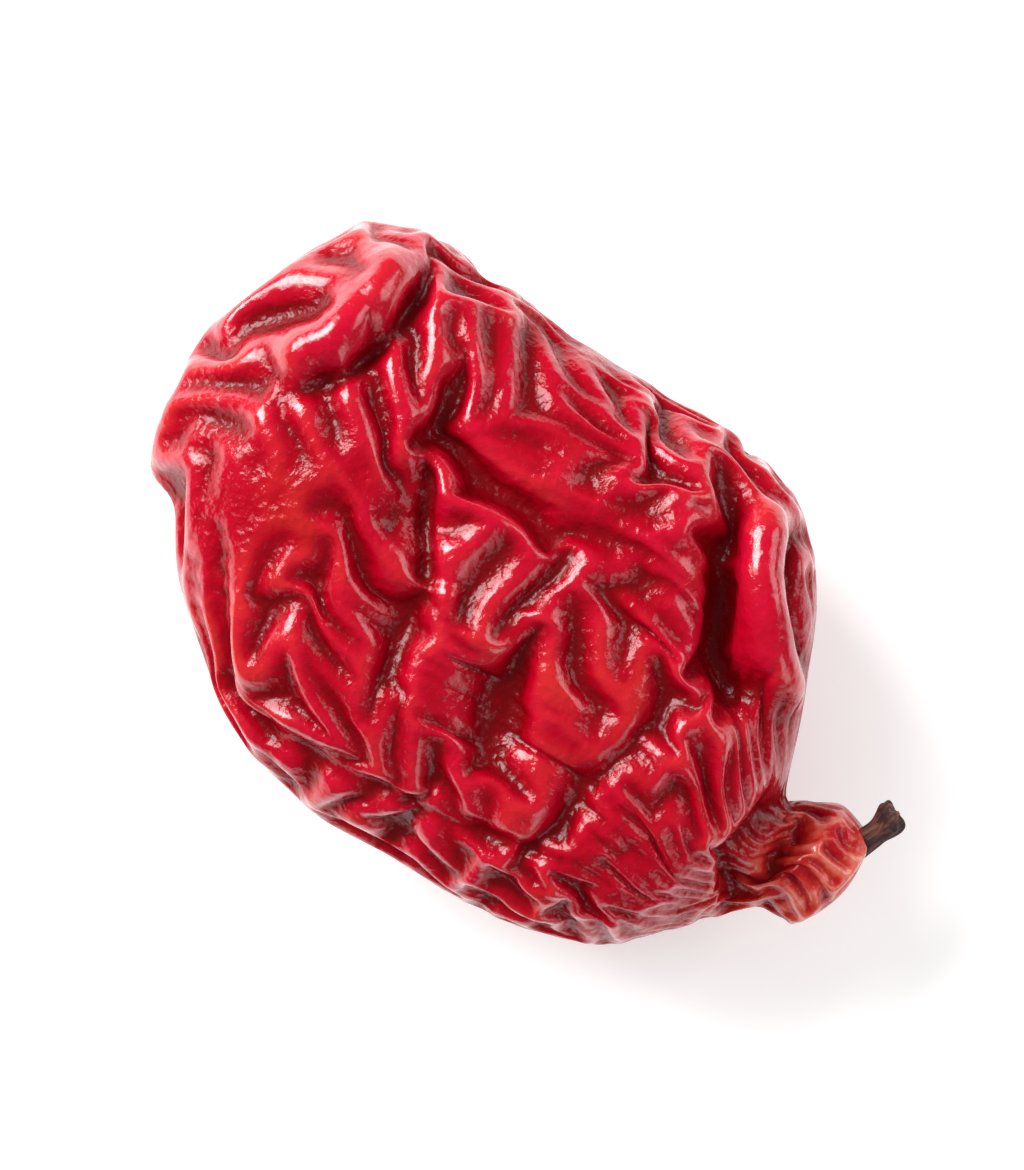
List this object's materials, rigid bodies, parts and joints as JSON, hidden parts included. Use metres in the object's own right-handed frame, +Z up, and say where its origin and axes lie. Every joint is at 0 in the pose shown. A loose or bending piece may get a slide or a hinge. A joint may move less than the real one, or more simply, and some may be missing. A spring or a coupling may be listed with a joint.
{
  "type": "dried barberry",
  "caption": "Single dried barberry: a collapsed, deeply wrinkled red berry with a puckered neck and the woody stub of its stalk.",
  "frame": {"origin": "middle of the berry's footprint, on the surface that it rests on", "axes": "+X along the berry's length towards the neck and stalk, +Y across its width, +Z up out of its hollow crown"},
  "size_m": [0.0088, 0.0058, 0.0033],
  "materials": {
    "berry_skin": "satin",
    "stalk_bark": "matte"
  },
  "bodies": {
    "root": {"dried_fruit": "berry_skin", "stalk_stub": "stalk_bark"}
  },
  "joints": []
}
